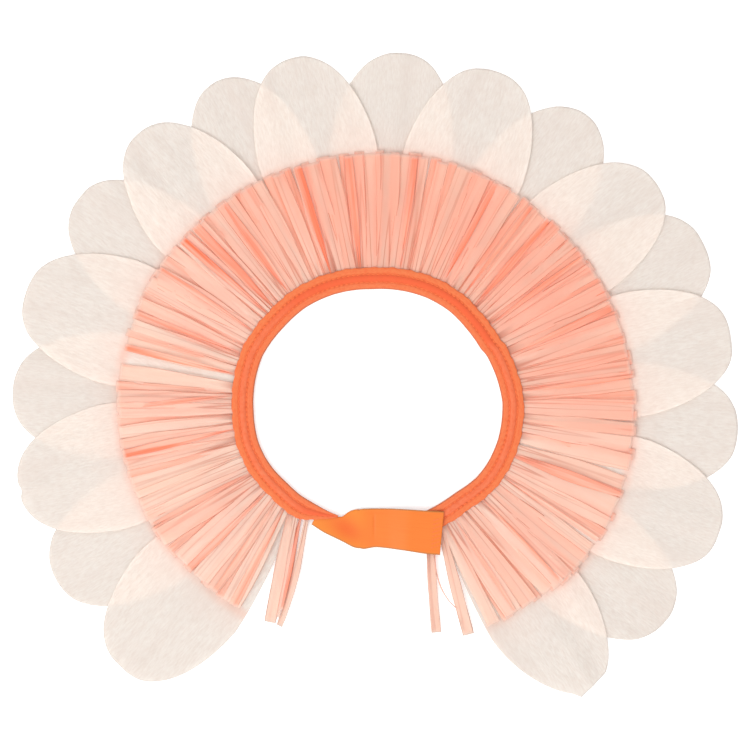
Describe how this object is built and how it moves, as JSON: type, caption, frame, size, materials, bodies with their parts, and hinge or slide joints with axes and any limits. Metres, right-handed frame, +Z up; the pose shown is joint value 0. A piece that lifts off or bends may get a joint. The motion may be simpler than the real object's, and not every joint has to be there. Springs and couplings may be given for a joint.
{
  "type": "paper flower bonnet",
  "caption": "Flat-laid paper flower bonnet: petals and a tissue fringe gathered into a stitched tape round a face opening, closed at the chin by an elastic strap.",
  "frame": {"origin": "centre of the face opening, in the plane of the table that the bonnet lies on", "axes": "+Z up out of the face side, +Y towards the crown, +X to the right as seen from the face side; the chin strap is at -Y"},
  "size_m": [0.4369, 0.3853, 0.0083],
  "materials": {
    "crepe_paper": "matte crepe, slightly translucent",
    "tissue_paper": "matte tissue, translucent",
    "binding_tape": "matte woven tape",
    "elastic": "satin knitted elastic",
    "thread": "matte spun thread"
  },
  "bodies": {
    "root": {"binding_tape": "binding_tape", "under_fringe": "tissue_paper", "over_fringe": "tissue_paper", "chin_strap": "elastic", "outer_seam_stitches": "thread", "inner_seam_stitches": "thread", "strap_tack_stitches": "thread", "front_petal_01": "crepe_paper", "front_petal_02": "crepe_paper", "front_petal_03": "crepe_paper", "front_petal_04": "crepe_paper", "front_petal_05": "crepe_paper", "front_petal_06": "crepe_paper", "front_petal_07": "crepe_paper", "front_petal_08": "crepe_paper", "front_petal_09": "crepe_paper", "front_petal_10": "crepe_paper", "back_petal_01": "crepe_paper", "back_petal_02": "crepe_paper", "back_petal_03": "crepe_paper", "back_petal_04": "crepe_paper", "back_petal_05": "crepe_paper", "back_petal_06": "crepe_paper", "back_petal_07": "crepe_paper", "back_petal_08": "crepe_paper", "back_petal_09": "crepe_paper"}
  },
  "joints": []
}
